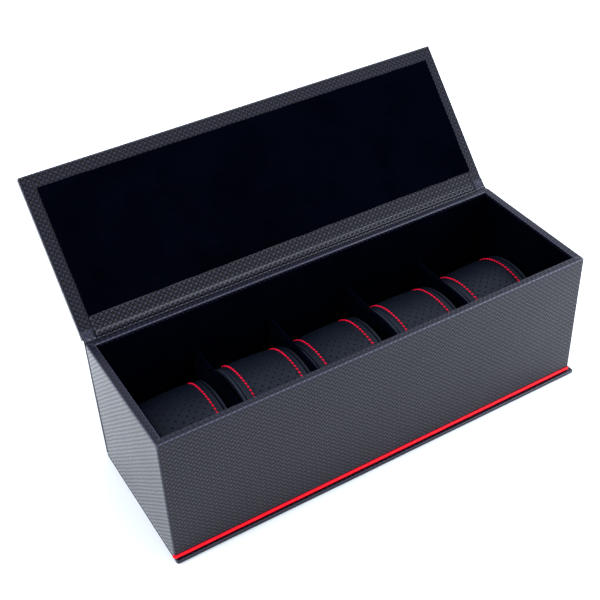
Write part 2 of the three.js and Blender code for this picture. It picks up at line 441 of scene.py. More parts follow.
def leatherette(name, dark, light, depth, gloss, hollow):
    """Charcoal leatherette with a pressed two-way weave, smoother and paler where it is handled, and a
    painted highlight along rounded edges where the wear and highlight value is high.
    Up to the height called hollow, the weave is painted fully dark, as shade in its hollows."""
    g = Graph(name)
    uv = g.uv()
    x, y, _ = g.parts(g.wobble(uv, 0.05, 0.55))
    a = g.math("DIVIDE", x, WEAVE_WIDTH)
    b = g.math("DIVIDE", y, WEAVE_HEIGHT)
    fat = tow(g, a, b, 0.0, math.radians(33), 1.45, 0.86)
    slim = tow(g, a, b, 0.5, math.radians(-58), 1.38, 0.66)
    height = g.math("MAXIMUM", fat, g.times(slim, 0.85))
    wear_and_highlight = g.wear_and_highlight()
    grain = g.noise(uv, 2.6, 3.0, 0.6)
    blotch = g.noise(uv, 0.045, 3.0, 0.55)
    # Colour of the weave: painted shade in its hollows, rising to the lightest colour on the tops of the
    # tows; wear flattens it.
    flattened = g.math("MULTIPLY_ADD", g.minus(0.45, height), g.times(wear_and_highlight, 0.9), height)
    colour = g.ramp(flattened, [(hollow, dark), (0.8, light), (1.0, tuple(1.2 * c for c in light))])
    duller = g.mix(1.0, colour, (0.62, 0.64, 0.7), "MULTIPLY")
    colour = g.mix(g.between(blotch, 0.0, 0.5), colour, duller)
    # Paler and glossier where worn; on the edges, where the value is high, this lightening is also painted
    # highlight.
    worn_and_lit = g.times(wear_and_highlight, g.between(grain, 0.25, 0.75))
    colour = g.mix(g.times(worn_and_lit, 0.3), colour, tuple(1.9 * c for c in light))
    # Painted highlight: a pale blue-grey line along rounded edges where the wear and highlight value passes
    # 0.72, broken up by the grain and the weave.
    edge = g.times(g.minus(wear_and_highlight, 0.72), 3.5, clamp=True)
    shown = g.times(g.between(grain, 0.2, 0.9), g.between(height, 0.5, 1.0))
    colour = g.mix(g.times(edge, shown), colour, (0.105, 0.110, 0.150))
    rough = g.minus(g.between(grain, gloss, gloss + 0.12), g.times(height, 0.14))
    rough = g.minus(rough, g.times(worn_and_lit, 0.08))
    relief = g.times(height, g.math("MULTIPLY_ADD", wear_and_highlight, -0.45, 1.0))
    fine = g.bump(grain, 0.02)
    g.put(g.shader.inputs["Coat Normal"], g.bump(relief, 0.12 * depth))
    g.put(g.shader.inputs["Coat Weight"], g.between(g.times(height, 2.2, clamp=True), 0.55, 1.0))
    return g.finish(colour, rough, g.bump(relief, depth, 1.0, fine), Specular_IOR_Level=0.08,
                    Coat_Roughness=0.15, Coat_IOR=1.25)


def velvet():
    """Black velvet: a short pile with faint brushed patches and a thin sheen."""
    g = Graph("black_velvet")
    place = g.place()
    pile = g.noise(place, 1.9, 3.0, 0.7)
    brushed = g.noise(g.wobble(place, 0.02, 6.0), 0.028, 3.0, 0.6)
    colour = g.ramp(brushed, [(0.3, (0.0002, 0.0004, 0.0014)), (0.7, (0.0006, 0.0009, 0.0030))])
    colour = g.mix(g.between(pile, 0.0, 0.5), colour, (0.0001, 0.0002, 0.0006))
    normal = g.bump(pile, 0.12, 0.6)
    return g.finish(colour, g.between(pile, 0.9, 1.0), normal, Sheen_Weight=0.02,
                    Sheen_Roughness=0.35, Sheen_Tint=(0.5, 0.62, 1.0, 1.0), Specular_IOR_Level=0.0)


def piping_red():
    """Bright red leatherette drawn over a cord, with fine cross wrinkles."""
    g = Graph("piping_red")
    uv = g.uv()
    wrinkle = g.noise(g.stretched(uv, 1.4, 0.35), 0.9, 3.0, 0.55)
    grain = g.noise(uv, 3.2, 3.0, 0.6)
    colour = g.ramp(wrinkle, [(0.25, (0.50, 0.001, 0.007)), (0.7, (0.88, 0.004, 0.016))])
    normal = g.bump(wrinkle, 0.12, 1.0, g.bump(grain, 0.03))
    return g.finish(colour, g.between(grain, 0.3, 0.45), normal, Specular_IOR_Level=0.22,
                    Specular_Tint=(1.0, 0.5, 0.5, 1.0))


def cushion_leather(name, holes):
    """Soft black leather with a pebbled grain, a painted highlight on its rounded rims, and a grid of small
    punched holes in the band, painted dark as the shade inside them.
    """
    g = Graph(name)
    uv = g.uv()
    cells = g.cells(g.wobble(uv, 0.6, 0.35), 1.15, "DISTANCE_TO_EDGE")
    pebble = g.times(cells, 4.0, clamp=True)
    pores = g.noise(uv, 5.0, 2.0, 0.6)
    patch = g.noise(uv, 0.06, 3.0, 0.55)
    colour = g.ramp(patch, [(0.3, (0.0006, 0.0012, 0.0036)), (0.7, (0.0013, 0.0022, 0.0058))])
    colour = g.mix(g.times(pebble, 0.3), colour, (0.0022, 0.0036, 0.0086))
    wear_and_highlight = g.wear_and_highlight()
    # Painted highlight on the rounded rims of the band and the ends, where the wear and highlight value is
    # high.
    colour = g.mix(g.times(wear_and_highlight, 0.5), colour, (0.018, 0.022, 0.034))
    rough = g.between(pores, 0.46, 0.60)
    normal = g.bump(pebble, 0.05, 1.0, g.bump(pores, 0.015))
    if holes:
        x, y, _ = g.parts(uv)
        rows = g.math("DIVIDE", y, HOLE_ROWS)
        row = g.math("ROUND", rows)
        shift = g.times(g.math("FLOORED_MODULO", row, 2.0), 0.5)
        columns = g.math("ADD", g.math("DIVIDE", x, 2 * HOLE_ROWS), shift)
        across = g.times(g.minus(columns, g.math("ROUND", columns)), 2 * HOLE_ROWS)
        along = g.times(g.minus(rows, row), HOLE_ROWS)
        far = g.math("SQRT", g.squares(across, along))
        punched = g.times(g.minus(HOLE_RADIUS + 0.08, far), 6.0, clamp=True)
        inside = g.math("LESS_THAN", g.math("ABSOLUTE", x), STITCH_X - HOLE_MARGIN)
        punched = g.times(punched, inside)
        # The holes are painted near-black, as the shade inside them.
        colour = g.mix(punched, colour, (0.0006, 0.0006, 0.001))
        rough = g.math("ADD", rough, g.times(punched, 0.4))
        normal = g.bump(g.minus(1.0, punched), 0.35, 1.0, normal)
    return g.finish(colour, rough, normal, Specular_IOR_Level=0.145, Specular_Tint=(0.74, 0.82, 1.0, 1.0))


def thread_red():
    """Waxed red sewing thread, twisted."""
    g = Graph("thread_red")
    uv = g.uv()
    x, y, _ = g.parts(uv)
    twist = g.math("SINE", g.times(g.math("ADD", x, g.times(y, 0.8)), 11.0))
    twist = g.between(twist, 0.5, 1.0)
    fuzz = g.noise(uv, 4.0, 2.0, 0.6)
    colour = g.mix(twist, (0.50, 0.001, 0.012), (0.95, 0.003, 0.046))
    return g.finish(colour, g.between(fuzz, 0.4, 0.6), g.bump(twist, 0.08, 1.0, g.bump(fuzz, 0.02)),
                    Specular_IOR_Level=0.12, Specular_Tint=(1.0, 0.4, 0.45, 1.0))


def foam():
    """Open-cell foam."""
    g = Graph("foam")
    place = g.place()
    pores = g.cells(place, 1.6, "F1")
    tone = g.noise(place, 0.08, 3.0)
    colour = g.mix(g.between(tone, 0.0, 0.6), (0.07, 0.07, 0.075), (0.1, 0.1, 0.1))
    return g.finish(colour, g.between(pores, 0.85, 1.0), g.bump(pores, 0.3))


def greyboard():
    """Pressed grey board, flecked with fibres."""
    g = Graph("greyboard")
    place = g.place()
    fibre = g.noise(g.stretched(place, 0.5, 2.2), 1.1, 4.0, 0.65)
    tone = g.noise(place, 0.05, 3.0)
    colour = g.mix(g.between(tone, 0.0, 1.0), (0.16, 0.155, 0.15), (0.22, 0.215, 0.205))
    colour = g.mix(g.times(fibre, 0.5), colour, (0.10, 0.095, 0.09))
    return g.finish(colour, g.between(fibre, 0.8, 0.95), g.bump(fibre, 0.05))


def paper():
    """The pale sweep of paper that the case stands on."""
    g = Graph("paper")
    place = g.place()
    tooth = g.noise(place, 0.6, 3.0)
    colour = g.mix(g.between(tooth, 0.0, 1.0), (0.93, 0.93, 0.93), (0.95, 0.95, 0.95))
    return g.finish(colour, g.between(tooth, 0.8, 0.9), g.bump(tooth, 0.03))


LEATHERETTE = leatherette("case_leatherette", (0.0002, 0.0002, 0.0006), (0.0122, 0.0110, 0.0270),
                          depth=0.14, gloss=0.38, hollow=0.12)
STRIP = leatherette("hinge_leatherette", (0.0001, 0.0001, 0.0003), (0.0225, 0.0210, 0.0430),
                    depth=0.26, gloss=0.40, hollow=0.36)
VELVET = velvet()
PIPING = piping_red()
BAND_LEATHER = cushion_leather("perforated_leather", True)
CAP_LEATHER = cushion_leather("cap_leather", False)
THREAD = thread_red()
FOAM = foam()
BOARD = greyboard()


# ---------------------------------------------------------------- tray

def tray_profile(bottom, rim, wall):
    """Section of a covered wall: inset from the outside face, height, then how much of the
    sideways and upward waviness each point takes, and its wear and painted highlight."""
    turn = 1.1
    inner = 0.8
    path = [(0.5, bottom, 0, 0, 0), (0.15, bottom + 0.15, 0, 0, 0.3), (0.0, bottom + 0.5, 0, 0, 0)]
    count = 27
    low, high = bottom + 0.5, rim - turn
    path += [(0.0, low + (high - low) * k / count, 1, 0, 0) for k in range(1, count)]
    # The outer top edge takes the painted edge highlight.
    for a in (0, 15, 30, 45, 60, 75, 90):
        c, s = math.cos(math.radians(a)), math.sin(math.radians(a))
        path.append((turn * (1 - c), high + turn * s, 0.6, s, 1.0 if 15 < a < 75 else 0.6))
    for inset in (1.9, 2.8, 3.7, wall - inner):
        path.append((inset, rim + 0.03 * math.sin(math.pi * inset / wall), 0, 1, 0.5))
    # The inner edge of the rim takes the painted edge highlight.
    for a in (22, 45, 67, 90):
        c, s = math.cos(math.radians(a)), math.sin(math.radians(a))
        path.append((wall - inner + inner * s, rim - inner + inner * c, 0, c, 1.0 if a < 90 else 0.3))
    inside = [(wall, rim - 3.0), (wall, rim - 12.0), (wall, 0.5 * (rim + bottom)),
              (wall, bottom + 0.5), (wall - 0.2, bottom + 0.1), (wall - 0.6, bottom)]
    return path + [(inset, height, 0, 0, 0) for inset, height in inside]


def side_stops(length):
    """Places along one wall, closer together beside the corners."""
    ends = [0.45, 0.9, 1.6, 2.8, 5.0]
    inner = np.linspace(5.0, length - 5.0, round((length - 10.0) / 4.0) + 1)[1:-1]
    return np.array([0.0] + ends + list(inner) + [length - e for e in reversed(ends)] + [length])


def tray_walls():
    """The four walls under one sheet of leatherette, turned in over the rim and mitred."""
    front, back = box_mm("front_wall"), box_mm("back_wall")
    lo = np.minimum(front[0], box_mm("left_wall")[0])
    hi = np.maximum(back[1], box_mm("right_wall")[1])
    wall = front[1][1] - front[0][1]
    back_share = (back[1][1] - back[0][1]) / wall
    corner_radius = 1.4
    corners = np.array([(lo[0], lo[1]), (hi[0], lo[1]), (hi[0], hi[1]), (lo[0], hi[1])])
    ways = np.array([(1.0, 0.0), (0.0, 1.0), (-1.0, 0.0), (0.0, -1.0)])
    rings, wear_and_highlight_rings = [], []
    profile = tray_profile(lo[2], hi[2], wall)
    for inset, z, side_share, up_share, worn_and_lit in profile:
        radius = max(corner_radius - inset, 0.12)
        spots = []
        for k, way in enumerate(ways):
            start, end = corners[k], corners[(k + 1) % 4]
            out = np.array([way[1], -way[0]])
            shares = [back_share if (i % 4) == 2 else 1.0 for i in (k - 1, k, k + 1)]
            a = start + way * (inset * shares[0] + radius) - out * inset * shares[1]
            b = end - way * (inset * shares[2] + radius) - out * inset * shares[1]
            length = np.linalg.norm(end - start)
            for p in side_stops(length):
                spots.append((*(a + (b - a) * p / length), *out, min(p, length - p), 0.0))
            for turn in (18, 36, 54, 72):
                t = math.radians(turn)
                away = out * math.cos(t) + way * math.sin(t)
                spots.append((*(b - out * radius + away * radius), *away, 0.0, 1.0))
        spots = np.array(spots)
        ring, outward, mitre, bend = spots[:, :2], spots[:, 2:4], spots[:, 4], spots[:, 5]
        if not rings:
            around = lengths(np.concatenate([ring, ring[:1]]))
        points = np.column_stack([ring, np.full(len(ring), z)])
        points[:, :2] += outward * (side_share * 0.16 * waves(points, 70, 3) - 0.05 * side_share)[:, None]
        points[:, 2] += up_share * (0.07 * waves(points, 40, 4) - 0.24 * np.exp(-(mitre / 0.7) ** 2))
        rings.append(points)
        # The rounded corners take extra wear and the painted edge highlight.
        wear_and_highlight_rings.append(np.clip(worn_and_lit + 0.8 * bend, 0, 1))
    section = [(p[0], p[1]) for p in profile]
    across = lengths(section + section[:1])
    points, faces, uv = swept(rings, closed_path=True, u=around, v=across)
    walls = new_piece("tray_cover", points, faces, uv, LEATHERETTE, np.concatenate(wear_and_highlight_rings))
    settle(walls, "tray", "case_leatherette", "front_wall", "back_wall", "left_wall", "right_wall")


def spine_board():
    """The spine under leatherette, with rounded edges and slightly uneven faces."""
    lo, hi = box_mm("spine_board")
    points, faces, uv, wear_and_highlight = block_mesh(lo, hi, (1.2, 0.8, 0.8), 5.0)
    points[:, 1] += 0.08 * waves(points, 60, 15) * np.sign(points[:, 1] - (lo + hi)[1] / 2)
    spine = new_piece("spine_cover", points, faces, uv, LEATHERETTE, wear_and_highlight)
    settle(spine, "tray", "case_leatherette", "spine_board")


def base_board():
    """The base, under leatherette turned over its edges, resting flat."""
    lo, hi = box_mm("base_board")
    points, faces, uv, wear_and_highlight = block_mesh(lo, hi, (1.5, 1.5, 1.3), 5.0)
    top = points[:, 2] > 2.0
    points[:, 2] += np.where(top, 0.05 * waves(points, 50, 8) - 0.05, 0.0)
    edge = points[:, 1] < lo[1] + 1.6
    points[:, 1] += np.where(edge, 0.10 * waves(points, 45, 9), 0.0)
    base = new_piece("base_cover", points, faces, uv, LEATHERETTE, wear_and_highlight)
    settle(base, "tray", "case_leatherette", "base_board")


def front_piping():
    """A red covered cord along the foot of the front wall, turned in round its left-hand corner."""
    lo, hi = box_mm("front_piping")
    middle = (lo[2] + hi[2]) / 2
    wall = hi[1] + 0.1
    path = [(lo[0] + 0.25, wall + 2.2), (lo[0] - 0.15, wall + 1.0), (lo[0] + 0.9, wall - 0.1)]
    path = rounded_path(path)[:-1].tolist()
    path += [(x, wall) for x in np.arange(lo[0] + 1.2, hi[0] - 1.2, 0.9)]
    path += [(hi[0] - 0.9, wall), (hi[0] - 0.3, wall + 0.15)]
    path = np.array(path)
    along = lengths(path)
    heading = np.gradient(path, axis=0)
    heading /= np.linalg.norm(heading, axis=1)[:, None]
    side = np.stack([heading[:, 1], -heading[:, 0]], axis=1)
    level = np.column_stack([path, np.zeros(len(path))])
    plump = 1.0 + 0.05 * waves(level, 9, 21) + 0.05 * waves(level, 2.6, 22)
    around = 20
    angles = np.linspace(0, TURN, around, endpoint=False)
    rings = []
    for i, (x, y) in enumerate(path):
        taper = min(1.0, 0.35 + 0.65 * min(along[i], along[-1] - along[i]))
        out = (1.15 * plump[i] * taper) * np.cos(angles)
        up = (hi[2] - lo[2]) / 2 * taper * np.sin(angles) * (1 + 0.03 * (plump[i] - 1))
        rings.append(np.column_stack([x + side[i, 0] * out, y + side[i, 1] * out, middle + up]))
    u = np.linspace(0, 6.8, around + 1)
    points, faces, uv = swept(rings, u=u, v=along)
    faces += end_faces(around, len(points))
    uv = swapped(uv) + [[(0.0, 0.0)] * around] * 2
    piping = new_piece("front_piping_cord", points, faces, uv, PIPING)
    settle(piping, "tray", "red_piping", "front_piping")


# ---------------------------------------------------------------- velvet

def lining(side, thickness_radius, wave, seed):
    """Card wrapped in velvet that lines one side of the tray: soft edges and a faintly uneven face."""
    node = f"{side}_lining"
    lo, hi = box_mm(node)
    points, faces, uv, _ = block_mesh(lo, hi, (0.5, 0.5, thickness_radius), 5.0)
    thin = int(np.argmin(hi - lo))
    away = np.sign(points[:, thin] - (lo + hi)[thin] / 2)
    points[:, thin] += away * (wave * waves(points, 24, seed) - wave)
    settle(new_piece(f"{side}_velvet", points, faces, uv, VELVET), "tray", "black_velvet", node)


def divider(number):
    """A thin board wrapped in velvet, with a rounded top that dips a little between its ends."""
    node = f"divider_{number}"
    lo, hi = box_mm(node)
    points, faces, uv, _ = block_mesh(lo, hi, (1.7, 1.2, 1.9), 3.5)
    rise = np.clip((points[:, 2] - lo[2]) / (hi[2] - lo[2]), 0, 1)
    middle = (lo[0] + hi[0]) / 2
    points[:, 0] = middle + (points[:, 0] - middle) * (0.95 + 0.04 * waves(points, 18, 30 + number))
    points[:, 2] += np.where(rise > 0.9, 0.15 * waves(points, 22, 40 + number) - 0.15, 0.0)
    board = new_piece(f"divider_{number}_velvet", points, faces, uv, VELVET)
    settle(board, "tray", "black_velvet", node)


# ---------------------------------------------------------------- lid

def lid_node_box(node):
    """A lid node's box in the closed lid's own directions, from its mesh at rest."""
    closed = opened(np.array([v.co for v in frame["nodes"][node].data.vertices]) / MM, -LID_OPEN)
    return closed.min(axis=0), closed.max(axis=0)


def lid_board():
    """The lid under leatherette: rounded edges, with turn-ins inside that meet in mitres."""
    lo, hi = lid_node_box("lid_board")
    panel_lo, panel_hi = lid_node_box("lid_velvet_panel")
    points, faces, uv, wear_and_highlight = block_mesh(lo, hi, (1.3, 1.3, 1.2), 6.0, 14.0)
    inside = points[:, 2] < (lo[2] + hi[2]) / 2
    push = 0.10 * waves(points, 80, 51)
    for k, (x, panel_x) in enumerate(((lo[0], panel_lo[0]), (hi[0], panel_hi[0]))):
        for j, (y, panel_y) in enumerate(((lo[1], panel_lo[1]), (hi[1], panel_hi[1]))):
            dx, dy = panel_x - x, panel_y - y
            size = math.hypot(dx, dy)
            across = ((points[:, 0] - x) * dy - (points[:, 1] - y) * dx) / size
            near = np.hypot(points[:, 0] - x, points[:, 1] - y) < 1.05 * size
            ridge = 0.34 * np.exp(-(across / 0.9) ** 2) - 0.22 * np.exp(-((across - 1.3) / 0.6) ** 2)
            crumple = 0.10 * waves(points, 3.5, 60 + 2 * k + j)
            if j == 1:
                ridge, crumple = 0.2 * ridge, crumple * (2.0 if k == 0 else 0.3)
            push += np.where(near & inside, ridge + crumple, 0.0)
    flat = np.abs(points[:, 2] - np.where(inside, lo[2], hi[2])) < 0.7
    points[:, 2] += np.where(flat, np.where(inside, -push, push * 0.6), 0.0)
    # At 0.7 the lid's edges take the paler wear and stay below the painted edge highlight.
    lid = new_piece("lid_cover", opened(points), faces, uv, LEATHERETTE, 0.7 * wear_and_highlight)
    settle(lid, "lid", "case_leatherette", "lid_board")


def lid_panel():
    """The velvet-covered card inside the lid, its edges pulled over and slightly soft."""
    lo, hi = lid_node_box("lid_velvet_panel")
    points, faces, uv, _ = block_mesh(lo, hi, (0.5, 0.5, 0.5), 5.0)
    lower = points[:, 2] < (lo[2] + hi[2]) / 2
    points[:, 2] += np.where(lower, 0.12 * waves(points, 28, 71) + 0.1, 0.0)
    points[:, 1] += np.where(points[:, 1] > hi[1] - 2.0, PANEL_TUCK, 0.0)
    edge = 0.18 * waves(points, 17, 72)
    for axis in (0, 1):
        for side, limit in ((1, lo[axis]), (-1, hi[axis])):
            points[:, axis] += np.where(np.abs(points[:, axis] - limit) < 1.5, edge, 0.0)
    panel = new_piece("lid_velvet", opened(points), faces, uv, VELVET)
    settle(panel, "lid", "black_velvet", "lid_velvet_panel")


# ---------------------------------------------------------------- hinge

def sheet_mesh(path, thickness, x0, x1, step):
    """A thin sheet whose section follows path (y, z), swept along x, with rounded long edges."""
    path = np.asarray(path, float)
    heading = np.gradient(path, axis=0)
    heading /= np.linalg.norm(heading, axis=1)[:, None]
    normal = np.stack([-heading[:, 1], heading[:, 0]], axis=1)
    half = thickness / 2
    upper, lower = path + normal * half, path - normal * half
    first = path[0] - heading[0] * half * 0.8
    last = path[-1] + heading[-1] * half * 0.8
    section = np.concatenate([upper, [last], lower[::-1], [first]])
    along = lengths(section)
    xs = np.linspace(x0, x1, round((x1 - x0) / step) + 1)
    rings = [at_x(x, section) for x in xs]
    u = np.concatenate([along, [along[-1]]])
    points, faces, uv = swept(rings, u=u, v=xs)
    uv = swapped(uv)
    count, half_count = len(section), len(path)
    closing = [(i, i + 1, count - 3 - i, count - 2 - i) for i in range(half_count - 1)]
    closing += [(half_count - 1, half_count, half_count + 1), (count - 2, count - 1, 0)]
    for turn, offset in ((1, 0), (-1, len(points) - count)):
        for face in closing:
            faces.append(tuple(offset + i for i in face)[::turn])
            uv.append([(0.0, 0.0)] * len(face))
    return points, faces, uv


def closed_to_rest(y, z):
    """Where a place (y, z) on the closed lid is at rest."""
    return tuple(opened(np.array([[0.0, y, z]]))[0, 1:])


def on_lid(y, z, moves):
    """Places at those moves from (y, z) on the closed lid, as they are at rest."""
    return [closed_to_rest(y + dy, z + dz) for dy, dz in moves]


def hinge_strip():
    """The inner hinge strip: up from behind the back wall, across the gap and onto the lid."""
    tail_lo, tail_hi = box_mm("hinge_strip_tail")
    flap_lo, flap_hi = lid_node_box("hinge_strip_flap")
    y = (tail_lo[1] + tail_hi[1]) / 2
    level = (flap_lo[2] + flap_hi[2]) / 2
    low, high = np.array([y, tail_hi[2]]), np.array(closed_to_rest(flap_hi[1], level))
    way = (high - low) / np.linalg.norm(high - low)
    out = np.array([-way[1], way[0]])
    bends = [(0.8, 0.55), (1.5, 0.5), (2.1, -0.55), (2.3, -0.55), (2.9, 0.3), (4.2, 0.5), (5.6, 0.28)]
    free = [(y, tail_hi[2] - 1.6), (y, tail_hi[2] - 0.3)] + [low + way * a + out * b for a, b in bends]
    free = resampled(rounded_path(free + [high, closed_to_rest(flap_hi[1] - 0.8, level)]), 0.3)
    tail = resampled([(y, tail_lo[2]), (y, tail_hi[2] - 1.6)], 2.5)
    flap = [closed_to_rest(flap_hi[1] - 0.8, level), closed_to_rest(flap_lo[1] + PANEL_TUCK, level)]
    flap = resampled(flap, 1.0)
    path = np.concatenate([tail[:-1], free, flap[1:]])
    points, faces, uv = sheet_mesh(path, 0.5, tail_lo[0], tail_hi[0], 2.0)
    points = points + [0.0, 0.0, 0.06] * waves(points, 26, 81)[:, None]
    climb = (points[:, 1:] - low) @ way
    stretched = 0.12 * np.clip(1.0 - np.abs(climb - 4.0) / 2.2, 0, 1)
    strip = new_piece("hinge_strip", points, faces, uv, STRIP, stretched)
    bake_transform(strip)
    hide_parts("hinge_strip_tail", "hinge_strip_flap")


def hinge_lining():
    """The inner face of the covering: out of the gap behind the back wall, over the spine and
    on to the lid. It shows beside both ends of the strip, where it is crumpled and closes the gap."""
    spine_lo, spine_hi = box_mm("spine_board")
    lid_lo, lid_hi = lid_node_box("lid_board")
    front = spine_lo[1] - 0.1
    path = [(front, spine_hi[2] - 5.0), (front, spine_hi[2] - 0.5), (front + 0.7, spine_hi[2] + 0.35),
            (front + 2.1, spine_hi[2] + 0.85)]
    path += on_lid(lid_hi[1], lid_lo[2], [(0.3, -0.05), (-1.4, -0.08), (-5.2, -0.05)])
    path = resampled(rounded_path(path), 0.4)
    points, faces, uv = sheet_mesh(path, 0.16, spine_lo[0] + 0.35, spine_hi[0] - 0.35, 1.2)
    strip_hi = box_mm("hinge_strip_tail")[1][0]
    beyond = np.clip((np.abs(points[:, 0]) - strip_hi - 0.3) / 0.8, 0, 1)
    free = beyond * np.clip((points[:, 2] - spine_hi[2]) / 0.5, 0, 1)
    lift = 0.3 + 0.28 * waves(points, 3.4, 83) + 0.12 * waves(points, 1.8, 84)
    lift *= np.where(points[:, 0] > 0, 0.4, 1.0)
    points[:, 1] -= 0.62 * free * lift
    points[:, 2] += 0.78 * free * lift
    gap = spine_lo[1] - box_mm("back_wall")[1][1] - 0.15
    points[:, 1] -= gap * beyond * np.clip((spine_hi[2] - 0.9 - points[:, 2]) / 3.0, 0, 1)
    # The crumpled parts take the paler wear and a faint painted edge highlight.
    lining = new_piece("hinge_lining", points, faces, uv, LEATHERETTE, 0.8 * free)
    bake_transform(lining)


def hinge_cover():
    """The outer covering where it runs from the back of the spine, over the gap, round the lid."""
    spine_lo, spine_hi = box_mm("spine_board")
    lid_lo, lid_hi = lid_node_box("lid_board")
    back = spine_hi[1]
    up = [(-0.35, -13.0), (0.12, -10.0), (0.2, -1.2), (0.35, 0.2)]
    path = [(back + y, spine_hi[2] + z) for y, z in up]
    path += on_lid(lid_hi[1], lid_lo[2], [(0.45, 0.1), (0.2, 1.4)])
    path += on_lid(*lid_hi[1:], [(0.2, -1.6), (0.1, 0.1), (-1.6, 0.2), (-7.0, 0.12), (-10.0, -0.35)])
    path = resampled(rounded_path(path, 3), 0.4)
    points, faces, uv = sheet_mesh(path, 0.35, spine_lo[0] + 0.3, spine_hi[0] - 0.3, 3.0)
    cover = new_piece("hinge_cover", points, faces, uv, LEATHERETTE, np.zeros(len(points)))
    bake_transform(cover)


# ---------------------------------------------------------------- cushions

def oval(angle, half_depth, half_height):
    return np.stack([half_depth * np.cos(angle), half_height * np.sin(angle)], axis=-1)


def outwards(spots):
    """The direction of each spot from the middle of the oval."""
    return spots / np.linalg.norm(spots, axis=1)[:, None]


def oval_rings(profile, half_depth, half_height, relief=None, sides=AROUND):
    """A ring for each (x, inset, wear and highlight) of a section that goes round an oval, and the
    wear and painted highlight at each point. relief(x, angles) moves the points outwards."""
    angles = np.linspace(0, TURN, sides, endpoint=False)
    rings = []
    for x, inset, _ in profile:
        radius = oval(angles, half_depth - inset, half_height - inset)
        if relief:
            radius = radius + outwards(radius) * relief(x, angles)[:, None]
        rings.append(at_x(x, radius))
    return rings, np.repeat([float(worn_and_lit) for _, _, worn_and_lit in profile], sides)


def lengths_round(half_depth, half_height):
    """Distance round the oval at each point of a ring, and once more at its first."""
    return lengths(oval(np.linspace(0, TURN, AROUND + 1), half_depth, half_height))


def simulated_core(half_depth, half_height, half_length):
    """A stuffed oval body, swollen by a cloth simulation, as a mesh in millimetres about its middle."""
    rounding = ((0.0, 4.0), (0.4, 2.2), (1.4, 0.9), (3.0, 0.2))
    profile = [(-half_length + x, inset, 0) for x, inset in rounding]
    profile += [(x, 0.0, 0) for x in np.linspace(-half_length + 5.0, half_length - 5.0, 11)]
    profile += [(half_length - x, inset, 0) for x, inset in reversed(rounding)]
    sides = 48
    rings, _ = oval_rings(profile, half_depth, half_height, sides=sides)
    points, faces, _ = swept(rings)
    body = new_piece("core_form", points, faces + end_faces(sides, len(points)))
    bpy.context.view_layer.objects.active = body
    remesh = body.modifiers.new("remesh", "REMESH")
    remesh.mode = "VOXEL"
    remesh.voxel_size = 4.5 * MM
    bpy.ops.object.modifier_apply(modifier="remesh")
    before = np.array([v.co for v in body.data.vertices])
    cloth = body.modifiers.new("cloth", "CLOTH")
    cloth.settings.use_pressure = True
    cloth.settings.uniform_pressure_force = 4.0
    cloth.settings.effector_weights.gravity = 0.0
    for step in range(1, 21):
        bpy.context.scene.frame_set(step)
    bpy.ops.object.modifier_apply(modifier="cloth")
    bpy.context.scene.frame_set(1)
    after = np.array([v.co for v in body.data.vertices])
    move = after - before
    size = np.linalg.norm(move, axis=1)
    limit = 2.6 * MM
    move *= np.minimum(1.0, limit / np.maximum(size, 1e-9))[:, None]
    body.data.vertices.foreach_set("co", (before + move).astype(np.float32).ravel())
    body.data.update()
    rounder = body.modifiers.new("rounder", "SUBSURF")
    rounder.levels = rounder.render_levels = 1
    bpy.ops.object.modifier_apply(modifier="rounder")
    return body


def core_swell(body, half_depth, half_height):
    """How far the simulated body stands out from its oval, as a smooth function of x and angle."""
    tree = BVHTree.FromObject(body, bpy.context.evaluated_depsgraph_get())
    xs = np.linspace(-19, 19, 20)
    angles = np.linspace(0, TURN, 72, endpoint=False)
    grid = np.zeros((len(xs), len(angles)))
    for i, x in enumerate(xs):
        for j, a in enumerate(angles):
            way = Vector((0.0, half_depth * math.cos(a), half_height * math.sin(a))).normalized()
            hit = tree.ray_cast(Vector((x * MM, 0, 0)), way)
            flat = np.linalg.norm(oval(np.array([a]), half_depth, half_height)[0])
            grid[i, j] = hit[3] / MM - flat if hit[3] is not None else 0.0
    for _ in range(3):
        grid = (np.roll(grid, 1, 1) + 2 * grid + np.roll(grid, -1, 1)) / 4
        grid[1:-1] = (grid[:-2] + 2 * grid[1:-1] + grid[2:]) / 4
    grid -= grid.mean() + 0.4

    def swell(x, at):
        row = np.interp(np.clip(x, xs[0], xs[-1]), xs, np.arange(len(xs)))
        low = int(row)
        share = row - low
        line = grid[low] * (1 - share) + grid[min(low + 1, len(xs) - 1)] * share
        return np.interp(np.mod(at, TURN), np.append(angles, TURN), np.append(line, line[0]))

    return swell


def band_profile():
    """Section of the sewn band, left edge to right edge and back inside: x, inset, and the wear and painted
    highlight, brightest over the turned edges.
    """
    half = [(0.0, 0.0, 0), (3.0, 0.0, 0), (6.0, 0.0, 0), (9.0, 0.02, 0), (12.0, 0.05, 0), (14.5, 0.1, 0),
            (16.5, 0.12, 0), (17.8, 0.22, 0), (18.6, 0.42, 0), (STITCH_X, 0.5, 0), (19.8, 0.4, 0),
            (20.25, 0.3, 0.6), (20.6, 0.5, 0.4), (20.8, 0.9, 0), (21.2, 0.8, 0), (22.0, 0.6, 0),
            (23.0, 0.55, 0.1), (23.8, 0.7, 0.7), (24.25, 1.05, 1.0), (BAND_HALF, 1.6, 0.5), (24.35, 2.3, 0)]
    outer = [(-x, inset, worn_and_lit) for x, inset, worn_and_lit in reversed(half[1:])] + half
    inner = [(21.0, 1.0), (10.0, 0.4), (0.0, 0.3), (-10.0, 0.4), (-21.0, 1.0)]
    return outer + [(x, BAND_THICK + inset, 0) for x, inset in inner]


